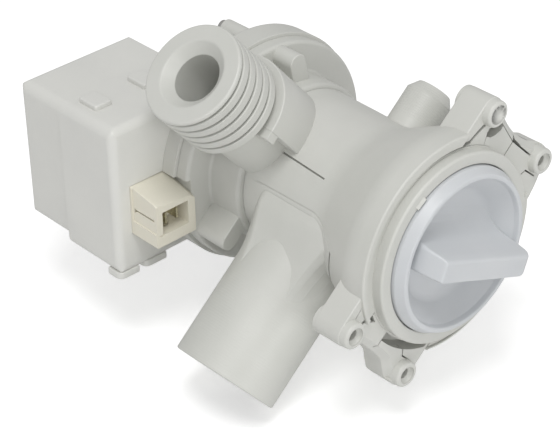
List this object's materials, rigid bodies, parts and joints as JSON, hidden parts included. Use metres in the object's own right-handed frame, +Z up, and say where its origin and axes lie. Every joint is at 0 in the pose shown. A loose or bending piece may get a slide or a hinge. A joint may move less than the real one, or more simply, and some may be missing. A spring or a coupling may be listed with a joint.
{
  "type": "washing machine drain pump",
  "caption": "Washing machine drain pump with a screw-in lint filter, hose stub, ribbed outlet spout, side nozzle and plug-in wet-rotor motor.",
  "frame": {"origin": "on the main axis, in the plane of the four screw bosses' front faces", "axes": "-Y along the main axis out of the filter cap, +Z up and +X right as the picture shows the pump"},
  "size_m": [0.1244, 0.171, 0.1354],
  "materials": {
    "housing_plastic": "moulded, satin",
    "cover_plastic": "moulded, satin",
    "cap_plastic": "moulded, slightly translucent",
    "socket_plastic": "moulded, satin",
    "filter_plastic": "moulded",
    "inner_plastic": "moulded",
    "impeller_plastic": "moulded",
    "seal_rubber": "matt",
    "screw_steel": "zinc plated",
    "shaft_steel": "ground",
    "core_steel": "stacked sheets",
    "blade_metal": "tinned",
    "bearing_ceramic": "ground",
    "magnet": "sintered ferrite",
    "copper": "enamelled wire"
  },
  "bodies": {
    "pump_body": {"filter_housing": "housing_plastic", "inlet_stub": "housing_plastic", "side_nozzle": "housing_plastic", "pump_chamber": "housing_plastic", "outlet_spout": "housing_plastic", "motor_bracket": "housing_plastic", "chamber_seal": "seal_rubber", "motor_screws": "screw_steel", "rotor_can": "inner_plastic", "bearing_plate": "inner_plastic", "front_bush": "bearing_ceramic", "rear_bush": "bearing_ceramic", "lamination_stack": "core_steel", "upper_bobbin": "inner_plastic", "lower_bobbin": "inner_plastic", "upper_winding": "copper", "lower_winding": "copper", "front_cover": "cover_plastic", "rear_cover": "cover_plastic", "plug_socket": "socket_plastic", "socket_blades": "blade_metal"},
    "rotor": {"rotor_shaft": "shaft_steel", "magnet_carrier": "inner_plastic", "rotor_magnet": "magnet", "front_thrust_washer": "bearing_ceramic", "rear_thrust_washer": "bearing_ceramic", "retaining_clip": "shaft_steel", "drive_dog": "inner_plastic"},
    "impeller_wheel": {"impeller": "impeller_plastic"},
    "cap_ring": {"cap_seal": "seal_rubber"},
    "cap_insert": {"filter_cap": "cap_plastic", "cap_grip": "cap_plastic", "lint_filter": "filter_plastic"}
  },
  "joints": [
    {"name": "rotor_spin", "type": "hinge", "parent": "pump_body", "child": "rotor", "pos_m": [0, 0.12, 0], "axis": [0, 1, 0], "continuous": true},
    {"name": "impeller_slip", "type": "hinge", "parent": "rotor", "child": "impeller_wheel", "pos_m": [0, 0.08, 0], "axis": [0, 1, 0], "range_deg": [0, 270]},
    {"name": "cap_slide", "type": "slide", "parent": "pump_body", "child": "cap_ring", "axis": [0, -1, 0], "range_m": [0, 0.007]},
    {"name": "cap_turn", "type": "hinge", "parent": "cap_ring", "child": "cap_insert", "pos_m": [0, 0, 0], "axis": [0, -1, 0], "range_deg": [0, 90]}
  ],
  "couplings": [
    {"joint": "cap_slide", "follows": "cap_turn", "m_per_rad": 0.0044563}
  ]
}
